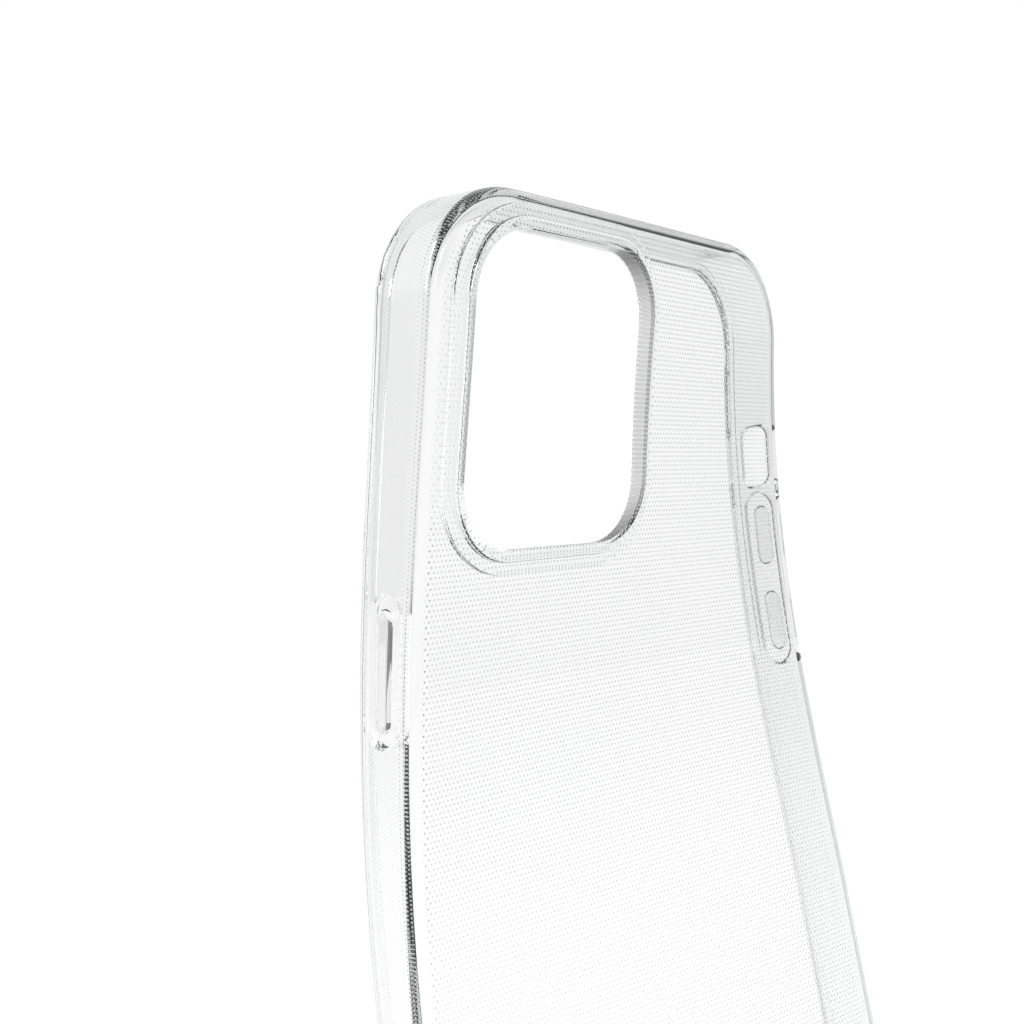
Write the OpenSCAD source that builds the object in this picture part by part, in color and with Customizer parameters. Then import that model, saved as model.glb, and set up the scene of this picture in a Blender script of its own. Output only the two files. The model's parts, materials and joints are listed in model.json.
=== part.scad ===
// Clear flexible phone case, bent the way it is while one top corner is peeled off a phone.
// The case stands upright: +Z runs up its length, its outer back faces -Y, and the open
// screen side faces +Y. The origin is on the inner back face, on the centre line, at the
// inside of the bottom wall. The case is laid out flat, cut into slanting strips, and each
// strip is turned to where the bend takes it. "Down" below is the distance from the outer
// top of the case, measured square to the slanting bend lines.

/* [Phone pocket] */
// Width of the pocket that holds the phone
pocket_w = 71.6; // [68:0.1:76]
// Length of the pocket
pocket_h = 147.6; // [140:0.1:160]
// Depth of the pocket, from the inner back face to the underside of the screen lip
pocket_d = 7.9; // [7:0.1:9]
// Corner radius of the pocket, seen from behind
pocket_r = 12; // [9:0.5:15]

/* [Moulding] */
// Thickness of the side walls
wall_t = 1.5; // [1.2:0.1:2]
// Thickness of the back panel
back_t = 1.1; // [0.8:0.1:1.6]
// Radius of the rounded outer back edge
edge_r = 2.6; // [2.2:0.1:3.2]
// Radius inside the pocket, where the back meets the wall
root_r = 1; // [0.8:0.1:1.6]
// Height of the raised lip round the screen opening
lip_h = 1; // [0.8:0.1:1.6]
// How far the screen lip reaches in over the phone
lip_over = 1.1; // [0.8:0.1:1.6]

/* [Camera window] */
// Distance of the window's centre from the centre line
window_x = -14.8; // [-16:0.1:-13]
// Distance of the window's centre from the outer top of the case
window_top = 23.2; // [22.6:0.1:24]
// Width of the window
window_w = 33.9; // [31:0.1:35]
// Height of the window
window_h = 36.5; // [34:0.1:38]
// Corner radius of the window
window_r = 8.6; // [7:0.1:10]
// Width of the raised bezel round the window
bezel_w = 3; // [2.6:0.1:3.1]
// How far the bezel stands out of the back
bezel_proud = 1.5; // [1:0.1:2]

/* [Buttons and openings] */
// Distance of the power button's centre from the outer top
power_top = 54.4; // [50:0.1:58]
// Length of the power button's pad
power_len = 14.2; // [12:0.2:18]
// Distance of the mute switch opening's centre from the outer top
mute_top = 30; // [29:0.1:31]
// Length of the mute switch opening
mute_len = 9; // [8:0.1:9.2]
// Distance of the volume pocket's centre from the outer top
volume_top = 48.6; // [48:0.1:52]
// Distance between the centres of the two volume pads
volume_pitch = 13.1; // [12.5:0.1:14]
// Length of each volume pad
volume_len = 9; // [8:0.1:9.6]
// Width of every pad, across the wall
pad_w = 2.8; // [2.2:0.1:3]
// Width of every button pocket, across the wall
pocket_rim_w = 5.2; // [4.6:0.1:5.4]
// Width of the mute switch opening, across the wall
mute_w = 5; // [4.4:0.1:5.2]
// Width of the charging port opening
port_w = 12; // [10:0.5:14]
// Height of the charging port opening, across the wall
port_d = 5; // [4.4:0.1:5.4]

/* [Bend] */
// How far the peeled corner is turned back from the straight
bend_deg = 18.2; // [0:0.2:24]
// How far the bend lines slant up towards the mute switch side
slant_deg = 35.6; // [35:0.2:37]
// Where the bend starts, down from the top
bend_start = 100; // [95:1:110]
// Where the bend ends, which is above the peeled corner
bend_end = -20; // [-25:1:-18]
// The line that the peeled corner turns about, down from the top
bend_pivot = 64.4; // [60:0.2:70]

/* [Hidden] */
$fn = 48;
outer_w = pocket_w + 2 * wall_t;
outer_h = pocket_h + 2 * wall_t;
outer_r = pocket_r + wall_t;
side_x = outer_w / 2;
top_z = pocket_h + wall_t;
bottom_z = -wall_t;
mid_z = pocket_h / 2;
back_y = -back_t;
lip_y = pocket_d;
front_y = pocket_d + lip_h;
mid_y = pocket_d / 2 + 0.4;
lip_round = 0.5;
// Cuts between the strips, down from the top, and the play left at each cut
cut_camera = 38;
cut_up = 61.2;
cut_down = 78;
cut_gap = 0.15;
// Where each strip lies exactly on the bend, down from the top
at_camera = 14;
at_up = 54;
at_down = 66.5;
// Skin left at the bottom of a button pocket, and the play under each pad
web_t = 0.5;
web_in = 0.55;
pad_t = 0.75;
// How far each button pocket reaches past its pads
power_margin = 1.5;
volume_up_top = volume_top - volume_pitch / 2;
volume_down_top = volume_top + volume_pitch / 2;
volume_margin = 2;
// Width of the bezel's crest, and how far the step outside it stands out, of the whole
crest_w = 1.5;
step_share = 0.45;
// Cut lengths that reach past everything
reach = 5;
big = 400;
// Play at the ends of the peeled corner
corner_gap = 0.8;
// How far a pad stands out of the wall
pad_proud = 0.3;
// Holes in the bottom wall: diameter, spacing, and where each row starts
hole_d = 1.7;
hole_pitch = 2.5;
hole_start = 12;

// ---- The bend ----

// The share of the peeled corner's turn that a line takes, and how fast that share grows.
function along(v) = min(1, max(0, (bend_start - v) / (bend_start - bend_end)));
function share(v) = pow(along(v), 2) * (3 - 2 * along(v));
function growth(v) = 6 * along(v) * (1 - along(v)) / (bend_start - bend_end);

// The slope of the bent back at a line, from the straight.
function slope(v) =
    bend_deg * share(v) + atan(growth(v) * bend_deg * PI / 180 * (bend_pivot - v));

// Works in a frame on the outer back with its Z square to the bend lines.
module slanted() {
    translate([0, back_y, top_z]) rotate([0, -slant_deg, 0]) children();
}

module unslanted() {
    rotate([0, slant_deg, 0]) translate([0, -back_y, -top_z]) children();
}

// The part of a flat shape between two lines.
module strip(from, to) {
    intersection() {
        children();
        slanted() translate([-big / 2, -big / 2, -to + cut_gap / 2])
            cube([big, big, to - from - cut_gap]);
    }
}

// Moves a flat shape so that it lies on the bend at line v.
module bent(v) {
    arm = bend_pivot - v;
    turn = bend_deg * share(v);
    slanted()
        translate([0, -arm * sin(turn), arm * cos(turn) - bend_pivot]) rotate([slope(v), 0, 0])
            translate([0, 0, v]) unslanted() children();
}

// Turns a flat shape all the way, as the peeled corner is.
module peeled() {
    slanted() translate([0, 0, -bend_pivot]) rotate([bend_deg, 0, 0])
        translate([0, 0, bend_pivot]) unslanted() children();
}

// The four strips of the case.
module lower_zone() {
    strip(cut_down, big) children();
}

module strip_down() {
    bent(at_down) strip(cut_up, cut_down) children();
}

module strip_up() {
    bent(at_up) strip(cut_camera, cut_up) children();
}

module camera_zone() {
    bent(at_camera) strip(-big, cut_camera) children();
}

// ---- Outlines ----

function arc(cx, cy, r, from, to, steps = 8) =
    [for (i = [0:steps]) let (a = from + (to - from) * i / steps) [cx + r * cos(a), cy + r * sin(a)]];

// A rectangle with round corners, centred.
module rounded_rect(w, h, r) {
    square([w, h - 2 * r], center = true);
    square([w - 2 * r, h], center = true);
    for (sx = [-1, 1], sz = [-1, 1])
        translate([sx * (w / 2 - r), sz * (h / 2 - r)]) circle(r);
}

// A round-ended slot, centred, with its length along Y.
module slot(w, l) {
    square([w, l - w], center = true);
    for (s = [-1, 1])
        translate([0, s * (l - w) / 2]) circle(w / 2);
}

// Section of the wall: its distance from the corner's centre, then its depth.
module wall_section() {
    polygon(concat(
        [[outer_r - edge_r, 0], [outer_r - edge_r, back_y]],
        arc(outer_r - edge_r, back_y + edge_r, edge_r, -90, 0),
        [[outer_r, lip_y], [pocket_r, lip_y]],
        arc(pocket_r - root_r, root_r, root_r, 0, -90)
    ));
}

// Section of the screen lip, which sits on the wall and reaches in over the phone.
module lip_section() {
    inner = pocket_r - lip_over;
    polygon(concat(
        [[inner, lip_y]],
        [[outer_r, lip_y]],
        arc(outer_r - lip_round, front_y - lip_round, lip_round, 0, 90, 4),
        arc(inner + lip_round, front_y - lip_round, lip_round, 90, 180, 4)
    ));
}

// A straight run of a section along X, with its outside towards +Z.
module run_x(length) {
    translate([-length / 2, 0, -outer_r])
        rotate([90, 0, 90]) rotate([0, 0, 90]) mirror([1, 0, 0])
            rotate([0, 0, 180]) linear_extrude(length) children();
}

// A straight run of a section along Z, with its outside towards +X.
module run_z(length) {
    translate([-outer_r, 0, -length / 2]) linear_extrude(length) children();
}

// A quarter turn of a section about the corner centre, outside towards +X and +Z.
module quarter() {
    rotate([90, 0, 0]) mirror([0, 0, 1]) rotate_extrude(angle = 90) children();
}

module side_run() {
    translate([side_x, 0, mid_z]) run_z(outer_h - 2 * outer_r) children();
}

module top_corner() {
    translate([side_x - outer_r, 0, top_z - outer_r]) quarter() children();
}

// The top corner on the camera side, with its ends cut back so that it turns freely.
module free_corner() {
    intersection() {
        mirror([1, 0, 0]) top_corner() children();
        translate([-big - side_x + outer_r - corner_gap, -big / 2, top_z - outer_r + corner_gap])
            cube(big);
    }
}

module bottom_corner() {
    translate([side_x - outer_r, 0, bottom_z + outer_r]) mirror([0, 0, 1]) quarter() children();
}

module top_run() {
    translate([0, 0, top_z]) run_x(outer_w - 2 * outer_r) children();
}

module bottom_run() {
    translate([0, 0, bottom_z]) mirror([0, 0, 1]) run_x(outer_w - 2 * outer_r) children();
}

// ---- Cutters ----

// A round-ended hole or pocket in a side wall, at a distance from the top.
module wall_slot(side, from_top, w, l, depth) {
    translate([side * (side_x - depth), mid_y, top_z - from_top])
        rotate([0, side * 90, 0]) linear_extrude(depth + 1) rotate([0, 0, 90]) slot(w, l);
}

module power_pocket() {
    wall_slot(-1, power_top, pocket_rim_w, power_len + 2 * power_margin, wall_t + 1);
}

module volume_pocket() {
    wall_slot(1, volume_top, pocket_rim_w, volume_pitch + volume_len + 2 * volume_margin, wall_t + 1);
}

module mute_opening() {
    translate([side_x - wall_t - 1, mid_y, top_z - mute_top]) rotate([0, 90, 0])
        linear_extrude(wall_t + 2) rounded_rect(mute_len, mute_w, 1.6);
}

module window_prism(grow, y0, y1) {
    translate([window_x, y1, top_z - window_top]) rotate([90, 0, 0])
        linear_extrude(y1 - y0)
            rounded_rect(window_w + 2 * grow, window_h + 2 * grow, window_r + grow);
}

// Holes through the bottom wall: charging port, speaker row and microphone pair.
module bottom_holes() {
    translate([0, mid_y, bottom_z - 1]) linear_extrude(wall_t + 2)
        rounded_rect(port_w, port_d, port_d / 2 - 0.1);
    for (i = [0:4])
        translate([hole_start + hole_pitch * i, mid_y, bottom_z - 1])
            cylinder(d = hole_d, h = wall_t + 2);
    for (i = [0:1])
        translate([-hole_start - hole_pitch * i, mid_y, bottom_z - 1])
            cylinder(d = hole_d, h = wall_t + 2);
}

// ---- Back panel ----

// The back's flat outline, thickened outwards from its inner face.
module back_prism(t) {
    translate([0, 0, mid_z]) rotate([90, 0, 0]) linear_extrude(t)
        rounded_rect(outer_w - 2 * edge_r, outer_h - 2 * edge_r, outer_r - edge_r);
}

module flat_back() {
    difference() {
        back_prism(back_t);
        window_prism(bezel_w, -reach, reach);
    }
}

module lower_back() {
    color("gainsboro") lower_zone() flat_back();
}

module back_strip_down() {
    color("gainsboro") strip_down() flat_back();
}

module back_strip_up() {
    color("gainsboro") strip_up() flat_back();
}

module upper_back() {
    color("gainsboro") camera_zone() flat_back();
}

// ---- Walls and corners ----

module right_wall() {
    difference() {
        side_run() wall_section();
        volume_pocket();
        mute_opening();
    }
}

module left_wall() {
    difference() {
        mirror([1, 0, 0]) side_run() wall_section();
        power_pocket();
    }
}

module left_wall_lower() {
    color("silver") lower_zone() left_wall();
}

module left_wall_strip_down() {
    color("silver") strip_down() left_wall();
}

module left_wall_strip_up() {
    color("silver") strip_up() left_wall();
}

module left_wall_upper() {
    color("silver") camera_zone() left_wall();
}

module right_wall_lower() {
    color("silver") lower_zone() right_wall();
}

module right_wall_strip_down() {
    color("silver") strip_down() right_wall();
}

module right_wall_strip_up() {
    color("silver") strip_up() right_wall();
}

module right_wall_upper() {
    color("silver") camera_zone() right_wall();
}

module bottom_wall() {
    color("silver") difference() {
        bottom_run() wall_section();
        bottom_holes();
    }
}

module top_wall() {
    color("silver") bent(at_camera) top_run() wall_section();
}

module corner_bottom_right() {
    color("lightgray") bottom_corner() wall_section();
}

module corner_bottom_left() {
    color("lightgray") mirror([1, 0, 0]) bottom_corner() wall_section();
}

module corner_top_right() {
    color("lightgray") bent(at_camera) top_corner() wall_section();
}

module corner_top_left() {
    color("lightgray") peeled() free_corner() wall_section();
}

// ---- Screen lip ----

module lip_sides() {
    side_run() lip_section();
    mirror([1, 0, 0]) side_run() lip_section();
}

module screen_lip_lower() {
    color("whitesmoke") {
        lower_zone() lip_sides();
        bottom_run() lip_section();
        bottom_corner() lip_section();
        mirror([1, 0, 0]) bottom_corner() lip_section();
    }
}

module lip_strip_down() {
    color("whitesmoke") strip_down() lip_sides();
}

module lip_strip_up() {
    color("whitesmoke") strip_up() lip_sides();
}

module screen_lip_upper() {
    color("whitesmoke") {
        camera_zone() lip_sides();
        bent(at_camera) {
            top_run() lip_section();
            top_corner() lip_section();
        }
    }
}

module lip_corner() {
    color("whitesmoke") peeled() free_corner() lip_section();
}

// ---- Camera bezel ----

// Clears the way of the peeled corner.
module corner_relief() {
    translate([-side_x + outer_r, reach, top_z - outer_r]) rotate([90, 0, 0]) difference() {
        translate([-outer_r, 0, 0]) cube([outer_r, outer_r, 2 * reach]);
        cylinder(r = outer_r - edge_r - corner_gap, h = 2 * reach);
    }
}

// The crest round the window, and the lower step outside it.
module camera_bezel() {
    color("white") bent(at_camera) difference() {
        window_prism(crest_w, back_y - bezel_proud, 0);
        window_prism(0, -reach, reach);
    }
}

module camera_bezel_foot() {
    color("white") bent(at_camera) difference() {
        intersection() {
            window_prism(bezel_w, back_y - bezel_proud * step_share, 0);
            back_prism(reach);
        }
        window_prism(crest_w, -reach, reach);
        corner_relief();
    }
}

// ---- Button pockets and pads ----

// The thin skin across a button pocket, cut out under each pad.
module web(side, from_top, length, pads) {
    difference() {
        translate([side * (side_x - wall_t + web_in / 2), mid_y, top_z - from_top])
            rotate([0, 90, 0]) rotate([0, 0, 90]) linear_extrude(web_t, center = true)
                slot(pocket_rim_w, length);
        for (p = pads)
            wall_slot(side, p, pad_w + 0.4, (side < 0 ? power_len : volume_len) + 0.4, wall_t + 1);
    }
}

module power_web() {
    color("ghostwhite") bent(at_camera) web(-1, power_top, power_len + 2 * power_margin, [power_top]);
}

module volume_webs() {
    web(1, volume_top, volume_pitch + volume_len + 2 * volume_margin, [volume_up_top, volume_down_top]);
}

module volume_up_web() {
    color("ghostwhite") strip_up() volume_webs();
}

module volume_down_web() {
    color("ghostwhite") strip_down() volume_webs();
}

// One raised pad, floating in its web and standing a little proud of the wall.
module pad(side, from_top, length) {
    translate([side * (side_x - pad_t), mid_y, top_z - from_top])
        rotate([0, side * 90, 0]) rotate([0, 0, 90]) linear_extrude(pad_t + pad_proud)
            slot(pad_w, length);
}

module power_button() {
    color("snow") bent(at_camera) pad(-1, power_top, power_len);
}

module volume_up_button() {
    color("snow") bent(at_up) pad(1, volume_up_top, volume_len);
}

module volume_down_button() {
    color("snow") bent(at_down) pad(1, volume_down_top, volume_len);
}

lower_back();
back_strip_down();
back_strip_up();
upper_back();
left_wall_lower();
left_wall_strip_down();
left_wall_strip_up();
left_wall_upper();
right_wall_lower();
right_wall_strip_down();
right_wall_strip_up();
right_wall_upper();
bottom_wall();
top_wall();
corner_bottom_left();
corner_bottom_right();
corner_top_left();
corner_top_right();
screen_lip_lower();
lip_strip_down();
lip_strip_up();
screen_lip_upper();
lip_corner();
camera_bezel();
camera_bezel_foot();
power_web();
volume_up_web();
volume_down_web();
power_button();
volume_up_button();
volume_down_button();
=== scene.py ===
import json
import math

import bpy
import numpy as np
from mathutils import Matrix, Vector


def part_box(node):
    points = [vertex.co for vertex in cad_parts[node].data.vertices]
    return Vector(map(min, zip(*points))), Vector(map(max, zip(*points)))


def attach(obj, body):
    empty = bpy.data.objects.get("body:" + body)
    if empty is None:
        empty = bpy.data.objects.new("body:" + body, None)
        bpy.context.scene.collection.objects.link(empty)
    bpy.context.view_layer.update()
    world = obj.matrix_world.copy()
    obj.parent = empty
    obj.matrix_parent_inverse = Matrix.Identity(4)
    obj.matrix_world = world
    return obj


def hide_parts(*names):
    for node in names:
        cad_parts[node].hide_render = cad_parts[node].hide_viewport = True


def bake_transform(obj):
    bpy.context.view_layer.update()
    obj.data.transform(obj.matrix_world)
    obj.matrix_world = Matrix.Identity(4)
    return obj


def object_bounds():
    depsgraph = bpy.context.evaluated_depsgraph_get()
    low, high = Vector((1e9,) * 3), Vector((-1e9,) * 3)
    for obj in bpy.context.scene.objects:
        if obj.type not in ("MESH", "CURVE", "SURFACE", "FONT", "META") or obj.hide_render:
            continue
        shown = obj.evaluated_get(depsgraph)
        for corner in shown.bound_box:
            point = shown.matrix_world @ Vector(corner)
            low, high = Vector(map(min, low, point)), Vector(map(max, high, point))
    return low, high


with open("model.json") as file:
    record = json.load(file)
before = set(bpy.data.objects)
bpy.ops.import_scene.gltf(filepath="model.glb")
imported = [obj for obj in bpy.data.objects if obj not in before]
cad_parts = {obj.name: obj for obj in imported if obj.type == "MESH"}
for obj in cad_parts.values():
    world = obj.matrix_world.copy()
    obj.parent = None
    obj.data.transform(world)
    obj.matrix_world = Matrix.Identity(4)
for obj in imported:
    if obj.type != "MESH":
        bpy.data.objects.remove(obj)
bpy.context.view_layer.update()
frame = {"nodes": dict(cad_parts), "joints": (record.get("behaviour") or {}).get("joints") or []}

mm = 0.001

# ---- Camera ----
# It stands low behind the power side of the case and looks slightly up and across the
# outer back, so that the bent camera end fills the view.
camera_place = Vector((-103.41, -126.23, 91.75)) * mm
camera_heading = math.radians(35.855)
camera_rise = math.radians(7.792)
camera_roll = math.radians(9.365)

bpy.ops.object.camera_add(location=camera_place)
camera = bpy.context.object
camera.name = "camera"
camera.data.lens = 42.39
camera.data.sensor_width = 36
camera.data.clip_start = 1 * mm
camera.rotation_euler = (
    Matrix.Rotation(-camera_heading, 3, "Z")
    @ Matrix.Rotation(math.pi / 2 + camera_rise, 3, "X")
    @ Matrix.Rotation(-camera_roll, 3, "Z")
).to_euler()
bpy.context.scene.camera = camera

# ---- Studio ----
# A plain white table that glows, with its glow painted a little weaker close to the case as a
# painted pool of shade, and a white sweep of background.
# The sweep falls to grey behind the camera and at two sides, which draws a clear object's edges.
floor_half = 40.0
floor_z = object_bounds()[0][2]
floor_white = (0.8, 0.8, 0.8, 1)
glow_starts, glow_is_full = 0.05, 0.19
glow_near, glow_far = 0.25, 0.28

bpy.ops.mesh.primitive_plane_add(size=2 * floor_half, location=(0, 0, floor_z))
floor = bpy.context.object
floor.name = "floor"
floor_finish = bpy.data.materials.new("pale_floor")
floor_finish.use_nodes = True
floor_shader = floor_finish.node_tree.nodes["Principled BSDF"]
floor_shader.inputs["Base Color"].default_value = floor_white
floor_shader.inputs["Roughness"].default_value = 0.8
floor_shader.inputs["Emission Color"].default_value = (1, 1, 1, 1)
floor_tree = floor_finish.node_tree
floor_place = floor_tree.nodes.new("ShaderNodeTexCoord")
floor_reach = floor_tree.nodes.new("ShaderNodeVectorMath")
floor_reach.operation = "LENGTH"
# Painted shade: the floor's glow is a little weaker near the middle, round the case.
floor_glow = floor_tree.nodes.new("ShaderNodeMapRange")
floor_glow.interpolation_type = "SMOOTHSTEP"
floor_glow.inputs["From Min"].default_value = glow_starts
floor_glow.inputs["From Max"].default_value = glow_is_full
floor_glow.inputs["To Min"].default_value = glow_near
floor_glow.inputs["To Max"].default_value = glow_far
floor_tree.links.new(floor_place.outputs["Object"], floor_reach.inputs[0])
floor_tree.links.new(floor_reach.outputs["Value"], floor_glow.inputs["Value"])
floor_tree.links.new(floor_glow.outputs["Result"], floor_shader.inputs["Emission Strength"])
floor.data.materials.append(floor_finish)

world = bpy.data.worlds.new("studio")
bpy.context.scene.world = world
world.use_nodes = True
sky = world.node_tree
background = sky.nodes["Background"]
direction = sky.nodes.new("ShaderNodeTexCoord").outputs["Generated"]


def sky_lobe(heading, rise, inner, outer, grey):
    """Grey in the middle of a cone of directions, and 1 outside it. Angles are degrees."""
    turn, lift = math.radians(heading), math.radians(rise)
    aim = (math.sin(turn) * math.cos(lift), math.cos(turn) * math.cos(lift), math.sin(lift))
    near = sky.nodes.new("ShaderNodeVectorMath")
    near.operation = "DOT_PRODUCT"
    sky.links.new(direction, near.inputs[0])
    near.inputs[1].default_value = aim
    ramp = sky.nodes.new("ShaderNodeMapRange")
    ramp.interpolation_type = "SMOOTHSTEP"
    ramp.inputs["From Min"].default_value = math.cos(math.radians(outer))
    ramp.inputs["From Max"].default_value = math.cos(math.radians(inner))
    ramp.inputs["To Min"].default_value = 1.0
    ramp.inputs["To Max"].default_value = grey
    sky.links.new(near.outputs["Value"], ramp.inputs["Value"])
    return ramp.outputs["Result"]


sky_level = sky_lobe(203, 10, 26, 44, 0.1)
for lobe in (sky_lobe(87, 5, 13, 26, 0.75), sky_lobe(-45, 5, 14, 27, 0.25)):
    both = sky.nodes.new("ShaderNodeMath")
    both.operation = "MULTIPLY"
    sky.links.new(sky_level, both.inputs[0])
    sky.links.new(lobe, both.inputs[1])
    sky_level = both.outputs["Value"]
sky.links.new(sky_level, background.inputs["Strength"])
background.inputs["Color"].default_value = (1.01, 1.01, 1.01, 1)

bpy.ops.object.light_add(type="AREA", location=(-0.75, -0.28, 0.55))
softbox = bpy.context.object
softbox.name = "softbox"
softbox.data.shape = "RECTANGLE"
softbox.data.size = 0.16
softbox.data.size_y = 0.7
softbox.data.energy = 5
softbox_aim = Vector((0, 0, 0.09)) - softbox.location
softbox.rotation_euler = softbox_aim.to_track_quat("-Z", "Y").to_euler()

bpy.context.scene.view_settings.view_transform = "Standard"

# ---- Moulded shell ----
# The whole case is one injection moulding in clear TPU: a flat back, rounded back edge,
# side walls and a lip that grips the phone. It is moulded flat, with its raised bezel,
# button pockets and holes, and is shaped flat here too before it is bent.
half_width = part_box("corner_bottom_right")[1].x
low_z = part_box("bottom_wall")[0].z
back_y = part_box("lower_back")[0].y
lip_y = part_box("bottom_wall")[1].y
front_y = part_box("screen_lip_lower")[1].y
case_length = 150.6 * mm
top_z = low_z + case_length
corner_r = 13.5 * mm
edge_r = 2.6 * mm
wall = 1.5 * mm
root_r = 1.0 * mm
lip_reach = 1.1 * mm
lip_round = 0.45 * mm
seam_y = 4.35 * mm
tiny = 0.004 * mm


def only(piece):
    bpy.ops.object.select_all(action="DESELECT")
    piece.select_set(True)
    bpy.context.view_layer.objects.active = piece


def block(name, low, high):
    """A box between two corners, with its place in its mesh."""
    low, high = Vector(low), Vector(high)
    bpy.ops.object.select_all(action="DESELECT")
    bpy.ops.mesh.primitive_cube_add(size=1, location=(low + high) / 2)
    piece = bpy.context.object
    piece.name = name
    piece.scale = high - low
    bpy.ops.object.transform_apply(location=True, rotation=True, scale=True)
    return piece


def pick(piece, part, test):
    """Selects the edges or faces that pass a test of their corner points."""
    bpy.ops.object.mode_set(mode="OBJECT")
    only(piece)
    mesh = piece.data
    for group in (mesh.vertices, mesh.edges, mesh.polygons):
        group.foreach_set("select", np.zeros(len(group), bool))
    bpy.context.tool_settings.mesh_select_mode = (False, part == "edges", part == "faces")
    members = mesh.edges if part == "edges" else mesh.polygons
    for member in members:
        member.select = test([mesh.vertices[i].co for i in member.vertices])
    bpy.ops.object.mode_set(mode="EDIT")


def done():
    bpy.ops.object.mode_set(mode="OBJECT")


def round_edges(piece, radius, steps, test):
    pick(piece, "edges", test)
    bpy.ops.mesh.bevel(offset=radius, segments=steps, profile=0.5, affect="EDGES")
    done()


def along(axis):
    """A test for edges that run along one axis."""
    others = [i for i in range(3) if i != axis]
    return lambda points: all(abs(points[0][i] - points[1][i]) < tiny for i in others)


def at_level(axis, level):
    """A test for edges or faces that lie in one plane."""
    return lambda points: all(abs(point[axis] - level) < tiny for point in points)


def join_in(piece, other, how):
    """Adds or cuts one closed shape with another."""
    only(piece)
    cut = piece.modifiers.new("join", "BOOLEAN")
    cut.operation = how
    cut.solver = "EXACT"
    cut.object = other
    bpy.ops.object.modifier_apply(modifier=cut.name)
    bpy.data.objects.remove(other)


def off_rim(point):
    """The nearest point to a flat point on the middle line that its corner turns about."""
    x_room = half_width - corner_r
    z_mid = (low_z + top_z) / 2
    z_room = case_length / 2 - corner_r
    x = min(max(point[0], -x_room), x_room)
    z = z_mid + min(max(point[2] - z_mid, -z_room), z_room)
    return Vector((x, point[1], z))


def ring(piece, y, width, rise):
    """A fine line all round the outside at one depth: raised, or cut in if rise is negative."""
    for level in (y - width, y, y + width):
        pick(piece, "faces", lambda points: True)
        bpy.ops.mesh.bisect(plane_co=(0, level, 0), plane_no=(0, 1, 0))
        done()
    for point in piece.data.vertices:
        if abs(point.co.y - y) < tiny:
            out = point.co - off_rim(point.co)
            point.co += out.normalized() * rise


shell = block("clear_shell", (-half_width, back_y, low_z), (half_width, front_y, top_z))
round_edges(shell, corner_r, 20, along(1))
round_edges(shell, edge_r, 10, at_level(1, back_y))
round_edges(shell, lip_round, 4, at_level(1, front_y))
ring(shell, seam_y, 0.09 * mm, 0.05 * mm)
ring(shell, lip_y, 0.22 * mm, -0.12 * mm)

# The bezel's lower step and its crest stand out of the back round the camera window.
window_middle = Vector((-14.8 * mm, 0, top_z - 23.2 * mm))
window_half = Vector((16.95 * mm, 0, 18.25 * mm))
window_r = 8.6 * mm
bezel_proud = 1.5 * mm
bezel_steps = (  # width, height and edge rounding of the lower step and of the crest
    (3.0 * mm, 0.6 * mm, 0.35 * mm),
    (1.5 * mm, bezel_proud, 0.6 * mm),
)
into_back = 0.5 * mm


def window_block(name, grow, low_y, high_y, rounding):
    """A prism of the window's outline, grown all round, with its outer edge rounded."""
    margin = Vector((grow, 0, grow))
    low = window_middle - window_half - margin
    high = window_middle + window_half + margin
    prism = block(name, (low.x, low_y, low.z), (high.x, high_y, high.z))
    round_edges(prism, window_r + grow, 14, along(1))
    if rounding:
        round_edges(prism, rounding, 5, at_level(1, low_y))
    return prism


for grow, proud, rounding in bezel_steps:
    step = window_block("step", grow, back_y - proud, back_y + into_back, rounding)
    join_in(shell, step, "UNION")

# The pocket for the phone, with the lip's flared mouth, is one core of the mould.
lip_straight = 0.55 * mm
lip_flare_high = 0.45 * mm
lip_flare = 0.7 * mm
clear_of = 2 * mm
core = block(
    "core",
    (wall - half_width, 0, low_z + wall),
    (half_width - wall, lip_y, top_z - wall),
)
round_edges(core, corner_r - wall, 20, along(1))
round_edges(core, root_r, 6, at_level(1, 0))
pick(core, "faces", at_level(1, lip_y))
bpy.ops.mesh.inset(thickness=lip_reach)
bpy.ops.mesh.extrude_region_move(TRANSFORM_OT_translate={"value": (0, lip_straight, 0)})
bpy.ops.mesh.extrude_region_move(TRANSFORM_OT_translate={"value": (0, lip_flare_high, 0)})
flare_x = 1 + lip_flare / (half_width - wall - lip_reach)
flare_z = 1 + lip_flare / (case_length / 2)
bpy.ops.transform.resize(
    value=(flare_x, 1, flare_z), center_override=(0, lip_y, (low_z + top_z) / 2)
)
bpy.ops.mesh.extrude_region_move(TRANSFORM_OT_translate={"value": (0, clear_of, 0)})
done()
join_in(shell, core, "DIFFERENCE")

# The window is cut through bezel and back, with its inner edge eased.
ease_deep = 0.4 * mm
ease_wide = 0.35 * mm
window = window_block("window", 0, back_y - bezel_proud, clear_of, 0)
pick(window, "faces", at_level(1, back_y - bezel_proud))
bpy.ops.transform.translate(value=(0, ease_deep, 0))
bpy.ops.mesh.extrude_region_move(TRANSFORM_OT_translate={"value": (0, -ease_deep, 0)})
ease = (1 + ease_wide / window_half.x, 1, 1 + ease_wide / window_half.z)
bpy.ops.transform.resize(value=ease, center_override=window_middle)
bpy.ops.mesh.extrude_region_move(TRANSFORM_OT_translate={"value": (0, -clear_of / 2, 0)})
done()
join_in(shell, window, "DIFFERENCE")

chamfer = 0.3 * mm


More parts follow.
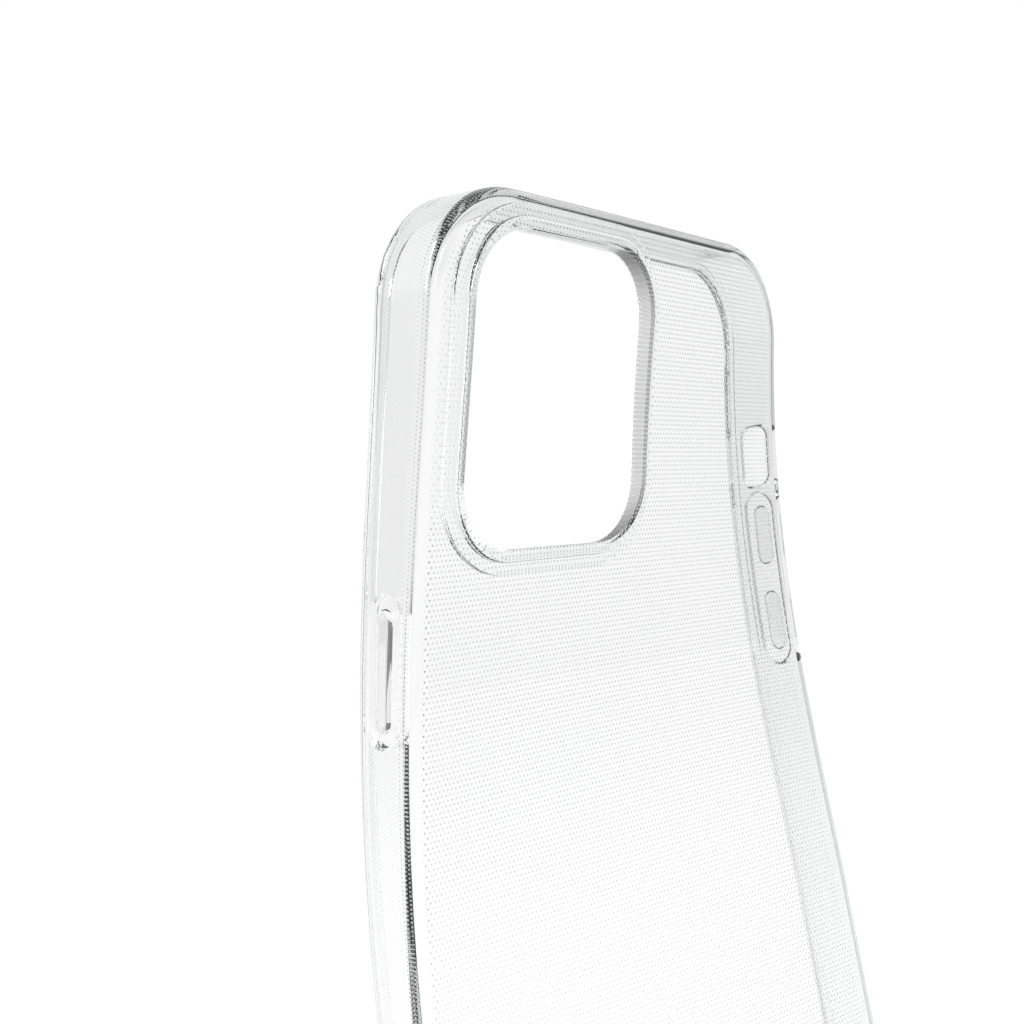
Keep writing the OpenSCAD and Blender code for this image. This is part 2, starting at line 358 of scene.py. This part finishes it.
def wall_cutter(side, from_top, length, width, corner, depth):
    """A cutter into a side wall with a chamfered mouth. Side is -1 or 1."""
    z = top_z - from_top
    inner = side * (half_width - depth)
    mouth = side * (half_width - chamfer)
    cutter = block(
        "cutter",
        (min(inner, mouth), seam_y - width / 2, z - length / 2),
        (max(inner, mouth), seam_y + width / 2, z + length / 2),
    )
    round_edges(cutter, corner, 10, along(0))
    pick(cutter, "faces", at_level(0, mouth))
    out = Vector((side * chamfer, 0, 0))
    bpy.ops.mesh.extrude_region_move(TRANSFORM_OT_translate={"value": out})
    widen = (1, 1 + 2 * chamfer / width, 1 + 2 * chamfer / length)
    bpy.ops.transform.resize(value=widen, center_override=(0, seam_y, z))
    past_wall = out.normalized() * wall
    bpy.ops.mesh.extrude_region_move(TRANSFORM_OT_translate={"value": past_wall})
    done()
    return cutter


# Button pockets leave a thin skin. The mute switch opening goes right through.
power_top = 54.4 * mm
power_length = 14.2 * mm
volume_tops = [42.05 * mm, 55.15 * mm]
volume_length = 9.0 * mm
pocket_width = 5.2 * mm
pocket_depth = 1.2 * mm
power_pocket = power_length + 3 * mm
volume_pocket = volume_tops[1] - volume_tops[0] + volume_length + 4 * mm
volume_middle = sum(volume_tops) / 2
round_end = pocket_width / 2 - tiny
mute_top = 30 * mm
mute_length, mute_width, mute_corner = 9 * mm, 5 * mm, 1.6 * mm
through = wall + 1 * mm
for cutter in (
    (-1, power_top, power_pocket, pocket_width, round_end, pocket_depth),
    (1, volume_middle, volume_pocket, pocket_width, round_end, pocket_depth),
    (1, mute_top, mute_length, mute_width, mute_corner, through),
):
    join_in(shell, wall_cutter(*cutter), "DIFFERENCE")

# Holes in the bottom wall: the charging port, five speaker holes and two microphone holes.
wall_middle = Vector((0, seam_y, low_z + wall / 2))
port_half = Vector((6 * mm, 2.5 * mm, wall / 2 + 1 * mm))
port_corner = 2.4 * mm
port = block("port", wall_middle - port_half, wall_middle + port_half)
round_edges(port, port_corner, 10, along(2))
join_in(shell, port, "DIFFERENCE")
hole_r = 0.85 * mm
hole_start = 12 * mm
hole_pitch = 2.5 * mm
speaker_holes = [hole_start + hole_pitch * i for i in range(5)]
microphone_holes = [-hole_start, -hole_start - hole_pitch]
for hole_x in speaker_holes + microphone_holes:
    middle = wall_middle + Vector((hole_x, 0, 0))
    reach = Vector((hole_r, hole_r, wall))
    hole = block("hole", middle - reach, middle + reach)
    round_edges(hole, hole_r - tiny, 6, along(2))
    join_in(shell, hole, "DIFFERENCE")

# The bend runs on slanting lines. Its hinge line and angle are the flex joint's.
flex = next(joint for joint in frame["joints"] if joint["name"] == "flex")
hinge_at = np.array(flex["pos_m"])
hinge_line = np.array(flex["axis"]) / np.linalg.norm(flex["axis"])
bend = math.radians(-flex["range_deg"][0])
up_bend = np.array((-hinge_line[2], 0, hinge_line[0]))
bend_below = 35.6 * mm
bend_above = 84.4 * mm
bend_length = bend_below + bend_above
cut_spacing = 2.4 * mm


def turned(vectors, angles):
    """Vectors turned about the hinge line, each by its own angle."""
    cos, sin = np.cos(angles)[:, None], np.sin(angles)[:, None]
    along_line = (vectors @ hinge_line)[:, None] * hinge_line
    return vectors * cos + np.cross(hinge_line, vectors) * sin + along_line * (1 - cos)


def bend_piece(piece):
    """Bends a flat piece, and turns its surface normals with it."""
    mesh = piece.data
    flat = np.array([point.co for point in mesh.vertices], float)
    normals = np.array([corner.vector for corner in mesh.corner_normals], float)
    arm = (flat - hinge_at) @ up_bend
    part = np.clip((arm + bend_below) / bend_length, 0, 1)
    share = part * part * (3 - 2 * part)
    growth = 6 * part * (1 - part) / bend_length
    bent = hinge_at + turned(flat - hinge_at, share * bend)
    mesh.vertices.foreach_set("co", bent.ravel())
    slope = share * bend + np.arctan(growth * bend * arm)
    corners = np.array([corner.vertex_index for corner in mesh.loops])
    mesh.normals_split_custom_set(turned(normals, slope[corners]).tolist())
    mesh.update()


def cut_for_bend(piece):
    """Cuts a flat piece along the bend lines, so that it bends smoothly."""
    flat = np.array([point.co for point in piece.data.vertices], float)
    arm = (flat - hinge_at) @ up_bend
    first = max(arm.min(), -bend_below)
    last = min(arm.max(), bend_above)
    for place in np.arange(first + cut_spacing / 2, last, cut_spacing):
        pick(piece, "faces", lambda points: True)
        bpy.ops.mesh.bisect(plane_co=hinge_at + up_bend * place, plane_no=up_bend)
        done()
    pick(piece, "faces", lambda points: True)
    bpy.ops.mesh.remove_doubles(threshold=tiny)
    bpy.ops.mesh.normals_make_consistent(inside=False)
    bpy.ops.mesh.quads_convert_to_tris(quad_method="BEAUTY", ngon_method="BEAUTY")
    done()


def smooth(piece, degrees):
    """Smooth shading that keeps flat faces flat and corners sharp."""
    only(piece)
    bpy.ops.object.shade_smooth_by_angle(angle=math.radians(degrees))
    even = piece.modifiers.new("even", "WEIGHTED_NORMAL")
    even.keep_sharp = True
    bpy.ops.object.modifier_apply(modifier=even.name)


wall_dots = 0.45
wall_dot_closeness = 1.25
near_surface = 0.06 * mm
near_window = 0.3 * mm
faces_back, on_slope = 0.9, 0.7


def off_window(point):
    """How far a flat point is outside the camera window's outline."""
    past = [abs(point[i] - window_middle[i]) - window_half[i] + window_r for i in (0, 2)]
    return math.hypot(max(past[0], 0), max(past[1], 0)) + min(max(past), 0) - window_r


def lay_pattern(piece):
    """Marks the dotted faces and the window's cut edge, where a glow is painted, and gives flat
    dot coordinates.
    """
    mesh = piece.data
    layer = mesh.uv_layers.new(name="flat_mm")
    inside = mesh.attributes.new("dotted", "FLOAT", "FACE")
    glow_paint_faces = mesh.attributes.new("painted_edge_glow_mask", "FLOAT", "FACE")
    for face in mesh.polygons:
        middle = off_rim(face.center)
        out = face.center - middle
        on_back = abs(face.center.y) < near_surface and face.normal.y > faces_back
        depth = abs(corner_r - out.length - wall)
        on_wall = 0 < face.center.y < lip_y and depth < near_surface
        inside.data[face.index].value = 1.0 if on_back else wall_dots * on_wall
        on_cut = abs(off_window(face.center)) < near_window and abs(face.normal.y) < faces_back
        # Painted glow on the window's cut edge, strongest on faces turned towards -x.
        glow_paint_faces.data[face.index].value = on_cut * max(0, -face.normal.x) ** 2
        closer = 1.0 if on_back else wall_dot_closeness
        for corner in face.loop_indices:
            point = mesh.vertices[mesh.loops[corner].vertex_index].co
            if abs(face.normal.y) > on_slope:
                place = (point.x, point.z)
            elif abs(out.z) < tiny:
                place = (point.z, point.y)
            elif abs(out.x) < tiny:
                place = (point.x, point.y)
            else:
                turn = math.atan2(abs(point.z - middle.z), abs(point.x - middle.x))
                place = (corner_r * turn, point.y)
            layer.data[corner].uv = Vector(place) * closer / mm


cut_for_bend(shell)
smooth(shell, 34)
lay_pattern(shell)

bend_piece(shell)


def node_group(name, inputs, outputs):
    """An empty shader node group with number inputs and outputs. Returns its two ends."""
    group = bpy.data.node_groups.new(name, "ShaderNodeTree")
    for socket, kind in inputs:
        group.interface.new_socket(name=socket, in_out="INPUT", socket_type=kind)
    for socket, kind in outputs:
        group.interface.new_socket(name=socket, in_out="OUTPUT", socket_type=kind)
    entry = group.nodes.new("NodeGroupInput")
    exit_end = group.nodes.new("NodeGroupOutput")
    return group, entry.outputs, exit_end.inputs


def sums(tree, operation, first, second=None):
    """One math node. Each value is a socket or a number."""
    node = tree.nodes.new("ShaderNodeMath")
    node.operation = operation
    for slot, value in enumerate((first, second)):
        if value is None:
            continue
        if isinstance(value, (int, float)):
            node.inputs[slot].default_value = value
        else:
            tree.links.new(value, node.inputs[slot])
    return node.outputs["Value"]


# Moulded dots: staggered rows of fine raised dots, which keep the clear back from
# sticking to the phone's glass and showing wet patches.
number = "NodeSocketFloat"
dots, dots_in, dots_out = node_group(
    "moulded_dots",
    [
        ("Place", "NodeSocketVector"),
        ("Pitch", number),
        ("Row Pitch", number),
        ("Dot Radius", number),
    ],
    [("Dot", number)],
)
place = dots.nodes.new("ShaderNodeSeparateXYZ")
dots.links.new(dots_in["Place"], place.inputs["Vector"])
row_place = sums(dots, "DIVIDE", place.outputs["Y"], dots_in["Row Pitch"])
row = sums(dots, "FLOOR", row_place)
stagger = sums(dots, "MULTIPLY", sums(dots, "FLOORED_MODULO", row, 2.0), 0.5)
column = sums(dots, "DIVIDE", place.outputs["X"], dots_in["Pitch"])
column_place = sums(dots, "ADD", column, stagger)
across = sums(dots, "SUBTRACT", sums(dots, "FRACT", column_place), 0.5)
upward = sums(dots, "SUBTRACT", sums(dots, "FRACT", row_place), 0.5)
across = sums(dots, "MULTIPLY", across, dots_in["Pitch"])
upward = sums(dots, "MULTIPLY", upward, dots_in["Row Pitch"])
across_square = sums(dots, "MULTIPLY", across, across)
upward_square = sums(dots, "MULTIPLY", upward, upward)
off_dot = sums(dots, "SQRT", sums(dots, "ADD", across_square, upward_square))
dot_edge = sums(dots, "DIVIDE", off_dot, dots_in["Dot Radius"])
dome = dots.nodes.new("ShaderNodeMapRange")
dome.interpolation_type = "SMOOTHSTEP"
dome.inputs["From Min"].default_value = 1.15
dome.inputs["From Max"].default_value = 0.55
dots.links.new(dot_edge, dome.inputs["Value"])
dots.links.new(dome.outputs["Result"], dots_out["Dot"])

# Handling marks: faint cloudy patches and hairline rubs on the polished surface.
marks, marks_in, marks_out = node_group(
    "handling_marks",
    [("Place", "NodeSocketVector"), ("Patch Scale", number), ("Rub Scale", number)],
    [("Patch", number), ("Rub", number)],
)
patch = marks.nodes.new("ShaderNodeTexNoise")
patch.inputs["Detail"].default_value = 3.0
marks.links.new(marks_in["Place"], patch.inputs["Vector"])
marks.links.new(marks_in["Patch Scale"], patch.inputs["Scale"])
marks.links.new(patch.outputs["Fac"], marks_out["Patch"])
stretch = marks.nodes.new("ShaderNodeMapping")
stretch.inputs["Rotation"].default_value = (0.3, 0.2, 0.6)
stretch.inputs["Scale"].default_value = (1.0, 1.0, 14.0)
marks.links.new(marks_in["Place"], stretch.inputs["Vector"])
rub = marks.nodes.new("ShaderNodeTexNoise")
rub.inputs["Detail"].default_value = 2.0
marks.links.new(stretch.outputs["Vector"], rub.inputs["Vector"])
marks.links.new(marks_in["Rub Scale"], rub.inputs["Scale"])
rub_line = marks.nodes.new("ShaderNodeMapRange")
rub_line.inputs["From Min"].default_value = 0.62
rub_line.inputs["From Max"].default_value = 0.72
marks.links.new(rub.outputs["Fac"], rub_line.inputs["Value"])
marks.links.new(rub_line.outputs["Result"], marks_out["Rub"])


tpu_clear = (0.972, 0.973, 0.970, 1)
tpu_clouded = (0.935, 0.937, 0.934, 1)
tpu_dot = (0.70, 0.71, 0.71, 1)
cloud_roughness, rub_roughness, dot_roughness = 0.035, 0.05, 0.32
cloud_height = 0.02
edge_glow_paint_strength = 0.6


def clear_tpu(name, pitch=0.0, row_pitch=0.0, dot_radius=0.0):
    """Clear polished TPU, plain or with dots on its marked faces and a painted glow on the
    window's cut edge. Sizes are millimetres.
    """
    finish = bpy.data.materials.new(name)
    finish.use_nodes = True
    tree = finish.node_tree
    shader = tree.nodes["Principled BSDF"]
    shader.inputs["Transmission Weight"].default_value = 1.0
    shader.inputs["IOR"].default_value = 1.5
    coordinates = tree.nodes.new("ShaderNodeTexCoord")
    wear = tree.nodes.new("ShaderNodeGroup")
    wear.node_tree = marks
    tree.links.new(coordinates.outputs["Object"], wear.inputs["Place"])
    wear.inputs["Patch Scale"].default_value = 45.0
    wear.inputs["Rub Scale"].default_value = 420.0
    cloud = sums(tree, "MULTIPLY", wear.outputs["Patch"], cloud_roughness)
    rubbed = sums(tree, "MULTIPLY", wear.outputs["Rub"], rub_roughness)
    rough = sums(tree, "ADD", cloud, rubbed)
    tint = tree.nodes.new("ShaderNodeMix")
    tint.data_type = "RGBA"
    tint.inputs["A"].default_value = tpu_clear
    tint.inputs["B"].default_value = tpu_clouded
    tree.links.new(wear.outputs["Patch"], tint.inputs["Factor"])
    colour = tint.outputs["Result"]
    height = sums(tree, "MULTIPLY", wear.outputs["Patch"], cloud_height)
    if pitch:
        flat_place = tree.nodes.new("ShaderNodeUVMap")
        flat_place.uv_map = "flat_mm"
        field = tree.nodes.new("ShaderNodeGroup")
        field.node_tree = dots
        tree.links.new(flat_place.outputs["UV"], field.inputs["Place"])
        field.inputs["Pitch"].default_value = pitch
        field.inputs["Row Pitch"].default_value = row_pitch
        field.inputs["Dot Radius"].default_value = dot_radius
        dotted = tree.nodes.new("ShaderNodeAttribute")
        dotted.attribute_name = "dotted"
        dot = sums(tree, "MULTIPLY", field.outputs["Dot"], dotted.outputs["Fac"])
        rough = sums(tree, "ADD", rough, sums(tree, "MULTIPLY", dot, dot_roughness))
        height = sums(tree, "ADD", height, dot)
        spot = tree.nodes.new("ShaderNodeMix")
        spot.data_type = "RGBA"
        tree.links.new(dot, spot.inputs["Factor"])
        tree.links.new(colour, spot.inputs["A"])
        spot.inputs["B"].default_value = tpu_dot
        colour = spot.outputs["Result"]
        # Painted light: the window's cut edge glows, most on faces turned towards -x, as a
        # stand-in for light that runs inside the wide part of the back and comes out at the
        # window's edge.
        lit = tree.nodes.new("ShaderNodeAttribute")
        lit.attribute_name = "painted_edge_glow_mask"
        glow = sums(tree, "MULTIPLY", lit.outputs["Fac"], edge_glow_paint_strength)
        tree.links.new(glow, shader.inputs["Emission Color"])
        shader.inputs["Emission Strength"].default_value = 1.0
    tree.links.new(colour, shader.inputs["Base Color"])
    tree.links.new(rough, shader.inputs["Roughness"])
    bump = tree.nodes.new("ShaderNodeBump")
    bump.inputs["Strength"].default_value = 0.5
    bump.inputs["Distance"].default_value = 0.04 * mm
    tree.links.new(height, bump.inputs["Height"])
    tree.links.new(bump.outputs["Normal"], shader.inputs["Normal"])
    body = tree.nodes.new("ShaderNodeVolumeAbsorption")
    body.inputs["Color"].default_value = (0.72, 0.74, 0.74, 1)
    body.inputs["Density"].default_value = 140.0
    tree.links.new(body.outputs["Volume"], tree.nodes["Material Output"].inputs["Volume"])
    return finish


dot_pitch_mm, dot_row_pitch_mm, dot_radius_mm = 0.62, 0.61, 0.14
shell_finish = clear_tpu("clear_tpu_dotted", dot_pitch_mm, dot_row_pitch_mm, dot_radius_mm)
shell.data.materials.append(shell_finish)

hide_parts(*[node for node in frame["nodes"] if not node.endswith("_button")])
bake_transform(shell)

# ---- Button pads ----
# Each pad is a pill of the same clear TPU, held over the thin skin at the bottom of its
# pocket and a little proud of the wall, so that a finger can press the phone's own button.
pad_width = 2.8 * mm
pad_out = 0.3 * mm
pad_thick = 0.6 * mm
pad_round = 0.5 * mm
pad_finish = clear_tpu("clear_tpu_pad")


def make_pad(name, side, from_top, length):
    """A pill on the outside of a side wall, with a rounded outer edge."""
    outer = side * (half_width + pad_out)
    inner = side * (half_width + pad_out - pad_thick)
    z = top_z - from_top
    pad = block(
        name,
        (min(inner, outer), seam_y - pad_width / 2, z - length / 2),
        (max(inner, outer), seam_y + pad_width / 2, z + length / 2),
    )
    round_edges(pad, pad_width / 2 - tiny, 12, along(0))
    round_edges(pad, pad_round, 5, at_level(0, outer))
    cut_for_bend(pad)
    smooth(pad, 40)
    bend_piece(pad)
    pad.data.materials.append(pad_finish)
    return pad


for name, side, from_top, length in (
    ("power", -1, power_top, power_length),
    ("volume_up", 1, volume_tops[0], volume_length),
    ("volume_down", 1, volume_tops[1], volume_length),
):
    pad = make_pad(name + "_pad_clear", side, from_top, length)
    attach(pad, name + "_pad")
    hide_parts(name + "_button")
